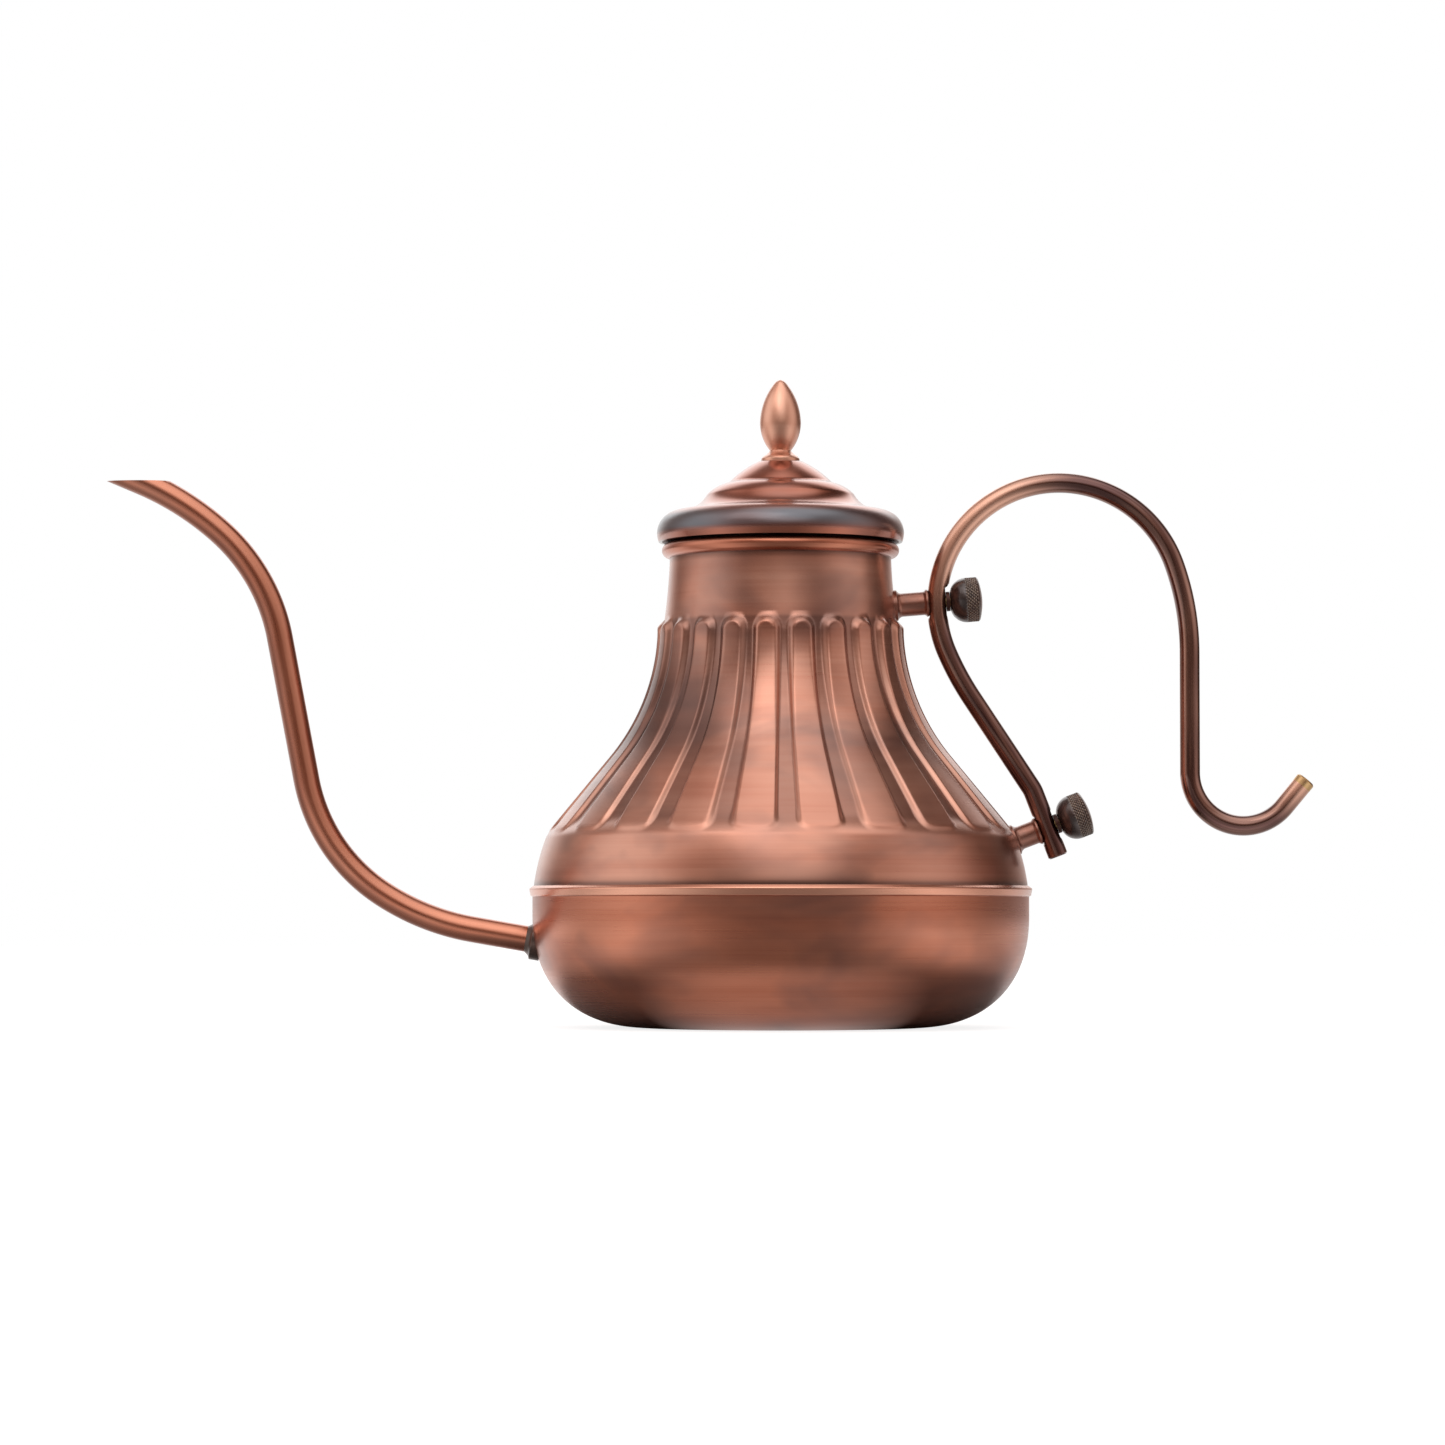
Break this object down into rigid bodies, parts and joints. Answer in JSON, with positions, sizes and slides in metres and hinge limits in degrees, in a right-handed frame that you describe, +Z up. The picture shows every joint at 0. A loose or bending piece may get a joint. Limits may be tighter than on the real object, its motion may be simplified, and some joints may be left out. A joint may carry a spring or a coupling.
{
  "type": "gooseneck kettle",
  "caption": "Gooseneck pour-over kettle: fluted copper-plated pot, long thin spout, bent-rod handle on two thumb screws, lift-off lid with finial.",
  "frame": {"origin": "middle of the flat bottom, on the surface the kettle stands on", "axes": "+Z up along the pot's axis, +X toward the handle, -X toward the spout's tip, +Y to the far side"},
  "size_m": [0.3202, 0.1332, 0.172],
  "materials": {
    "bowl_copper": "satin antique copper plate, spun, darker toward the bottom",
    "band_copper": "satin antique copper plate, edge burnished",
    "body_copper": "satin antique copper plate with patina in the flutes",
    "spout_copper": "satin antique copper plate",
    "solder_dark": "dark patinated solder collar",
    "post_brown": "dark reddish brown patina",
    "handle_copper": "glossy dark copper, lacquered",
    "knob_black": "blackened brass, knurled, worn tips",
    "screw_brass": "bare brass",
    "lid_copper": "lacquered antique copper plate",
    "bare_steel": "stainless steel, spun"
  },
  "bodies": {
    "pot": {"lower_bowl": "bowl_copper", "seam_band": "band_copper", "upper_body": "body_copper", "mouth_ring": "body_copper", "spout_tube": "spout_copper", "spout_collar": "solder_dark", "upper_standoff": "post_brown", "lower_standoff": "post_brown", "handle_rod": "handle_copper"},
    "lid": {"lid_shell": "lid_copper", "lid_sleeve": "bare_steel", "finial": "lid_copper", "finial_washer": "bare_steel", "finial_screw": "bare_steel"},
    "upper_washer_slider": {"upper_washer": "screw_brass"},
    "upper_thumb_screw": {"upper_knob": "knob_black", "upper_screw": "screw_brass"},
    "lower_washer_slider": {"lower_washer": "screw_brass"},
    "lower_thumb_screw": {"lower_knob": "knob_black", "lower_screw": "screw_brass"}
  },
  "joints": [
    {"name": "lid_lift", "type": "slide", "parent": "pot", "child": "lid", "axis": [0, 0, 1], "range_m": [0, 0.04]},
    {"name": "upper_screw_travel", "type": "slide", "parent": "pot", "child": "upper_washer_slider", "axis": [0.9969, 0, 0.0785], "range_m": [0, 0.0046]},
    {"name": "upper_screw_turn", "type": "hinge", "parent": "upper_washer_slider", "child": "upper_thumb_screw", "pos_m": [0.04159, 0, 0.11264], "axis": [0.9969, 0, 0.0785], "range_deg": [0, 3240]},
    {"name": "lower_screw_travel", "type": "slide", "parent": "pot", "child": "lower_washer_slider", "axis": [0.9336, 0, 0.3584], "range_m": [0, 0.0046]},
    {"name": "lower_screw_turn", "type": "hinge", "parent": "lower_washer_slider", "child": "lower_thumb_screw", "pos_m": [0.07065, 0, 0.05286], "axis": [0.9336, 0, 0.3584], "range_deg": [0, 3240]}
  ],
  "couplings": [
    {"joint": "upper_screw_travel", "follows": "upper_screw_turn", "m_per_rad": 0.000079577},
    {"joint": "lower_screw_travel", "follows": "lower_screw_turn", "m_per_rad": 0.000079577}
  ]
}
